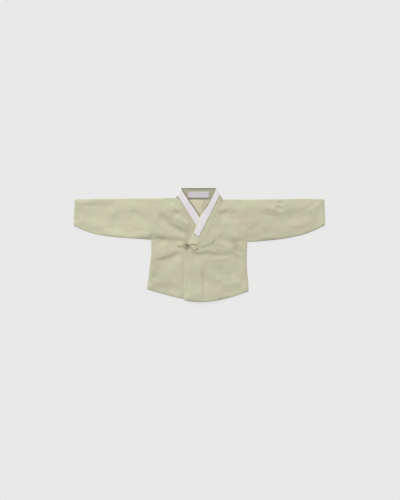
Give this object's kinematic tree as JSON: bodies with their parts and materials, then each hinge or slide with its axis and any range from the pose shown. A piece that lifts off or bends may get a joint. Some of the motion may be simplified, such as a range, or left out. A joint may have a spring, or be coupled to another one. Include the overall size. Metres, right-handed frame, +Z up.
{
  "type": "korean hanbok jacket (jeogori)",
  "caption": "Child's short korean jacket laid flat, with straight shoulders, curved sleeves, lapped fronts, collar band, white strip and a knotted cord button.",
  "frame": {"origin": "centre of the jacket's plan box, on the surface that it lies on", "axes": "+X along the sleeves towards the wearer's left cuff, +Y from the hem to the collar, +Z up from the surface"},
  "size_m": [0.72, 0.3291, 0.0168],
  "materials": {
    "silk": "pale celadon silk with a soft satin sheen and a faint woven flower",
    "strip": "crisp matt white cloth",
    "lining": "cream lining cloth, soft sheen",
    "label": "white woven satin tape, bare",
    "cord": "rolled silk cord in the jacket's green"
  },
  "bodies": {
    "root": {"back_right": "silk", "back_left": "silk", "back_lining": "lining", "front_inner": "silk", "seop_inner": "silk", "front_outer": "silk", "seop_outer": "silk", "sleeve_right": "silk", "sleeve_left": "silk", "collar": "silk", "collar_strip": "strip", "label": "label", "knot_button": "cord", "button_loop": "cord", "button_tail": "cord"}
  },
  "joints": []
}
